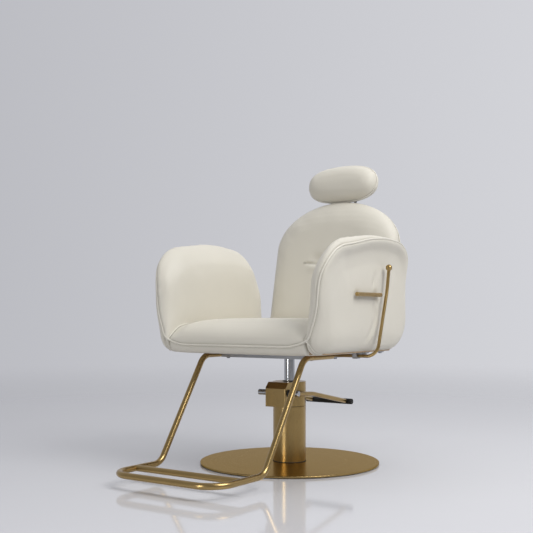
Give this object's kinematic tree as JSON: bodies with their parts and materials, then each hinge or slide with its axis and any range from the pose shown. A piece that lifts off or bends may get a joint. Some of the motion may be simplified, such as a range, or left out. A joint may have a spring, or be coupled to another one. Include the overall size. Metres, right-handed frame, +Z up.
{
  "type": "styling chair",
  "caption": "Salon styling chair with a padded tub seat, reclining arched back, sliding head pillow, tubular footrest and a hydraulic column on a round base.",
  "frame": {"origin": "on the column's axis, at the underside of the base, where it rests on the floor", "axes": "+Z up; the sitter faces -Y; +X is the sitter's left"},
  "size_m": [0.695, 1.0721, 1.0542],
  "materials": {
    "rubber": "matte",
    "brass": "satin",
    "steel": "satin",
    "polished_steel": "polished",
    "black_steel": "satin",
    "bronze": "satin",
    "plywood": "matte",
    "plastic": "matte",
    "upholstery_foam": "matte",
    "leather": "satin"
  },
  "bodies": {
    "base": {"base_underlay": "rubber", "base_disc": "brass", "base_bolts": "steel", "column_gasket": "rubber", "pump_flange": "steel", "pump_cylinder": "steel", "rod_bush": "bronze", "column_cover": "brass", "pump_head": "brass", "column_collar": "brass", "rod_seal": "rubber", "collar_screws": "steel"},
    "lift_rod": {"piston_rod": "polished_steel", "piston_head": "steel"},
    "pedal": {"pedal_shaft": "polished_steel", "shaft_collars": "rubber", "pedal_crossbar": "steel", "pedal_arms": "brass", "pedal_grip": "rubber"},
    "seat": {"swivel_hub": "steel", "hub_plate": "steel", "frame_rails": "steel", "frame_front_bar": "steel", "frame_bolts": "steel", "arm_straps": "steel", "strap_screws": "steel", "seat_board": "plywood", "seat_cushion": "upholstery_foam", "left_side_bar": "brass", "right_side_bar": "brass", "bar_studs": "brass", "left_arm_core": "plywood", "right_arm_core": "plywood", "left_arm_pad": "upholstery_foam", "right_arm_pad": "upholstery_foam", "footrest_left_leg": "brass", "footrest_right_leg": "brass", "footrest_front_loop": "brass", "footrest_cross_bar": "brass", "footrest_saddles": "brass", "lever_bearings": "steel", "hinge_pins": "steel", "hinge_lugs": "steel", "spring_anchor": "steel"},
    "lever": {"lever_rod": "brass", "lever_ball": "brass", "lever_cam": "steel"},
    "back": {"pivot_tube": "steel", "back_brackets": "steel", "bracket_screws": "steel", "spring_crank": "steel", "back_cushion": "upholstery_foam", "back_board": "plywood", "back_rear_pad": "upholstery_foam", "headrest_guides": "plastic"},
    "headrest": {"headrest_rods": "polished_steel", "headrest_board": "plywood", "headrest_pillow": "leather"},
    "spring_barrel": {"spring_cylinder": "black_steel"},
    "spring_plunger": {"spring_rod": "polished_steel"}
  },
  "joints": [
    {"name": "lift", "type": "slide", "parent": "base", "child": "lift_rod", "axis": [0, 0, 1], "range_m": [0, 0.15]},
    {"name": "swivel", "type": "hinge", "parent": "lift_rod", "child": "seat", "pos_m": [0, 0, 0.366], "axis": [0, 0, 1], "continuous": true},
    {"name": "pedal_pump", "type": "hinge", "parent": "base", "child": "pedal", "pos_m": [0, -0.065, 0.24], "axis": [1, 0, 0], "range_deg": [-20, 0], "stiffness_Nm_per_rad": 18, "springref_deg": 20.05},
    {"name": "recline_lever", "type": "hinge", "parent": "seat", "child": "lever", "pos_m": [0, -0.025, 0.368], "axis": [1, 0, 0], "range_deg": [-12, 0], "stiffness_Nm_per_rad": 2.5, "springref_deg": 17.19},
    {"name": "recline", "type": "hinge", "parent": "seat", "child": "back", "pos_m": [0, 0.235, 0.396], "axis": [1, 0, 0], "range_deg": [-45, 0]},
    {"name": "headrest_slide", "type": "slide", "parent": "back", "child": "headrest", "axis": [0, 0.1908, 0.9816], "range_m": [0, 0.08]},
    {"name": "spring_swing", "type": "hinge", "parent": "seat", "child": "spring_barrel", "pos_m": [0.06, 0.005, 0.363], "axis": [1, 0, 0], "range_deg": [0, 2.8]},
    {"name": "spring_travel", "type": "slide", "parent": "spring_barrel", "child": "spring_plunger", "axis": [0, 1, 0], "range_m": [-0.0235, 0]}
  ],
  "couplings": [
    {"joint": "spring_swing", "follows": "recline", "ratio": -0.0595},
    {"joint": "spring_travel", "follows": "recline", "m_per_rad": 0.02942}
  ]
}
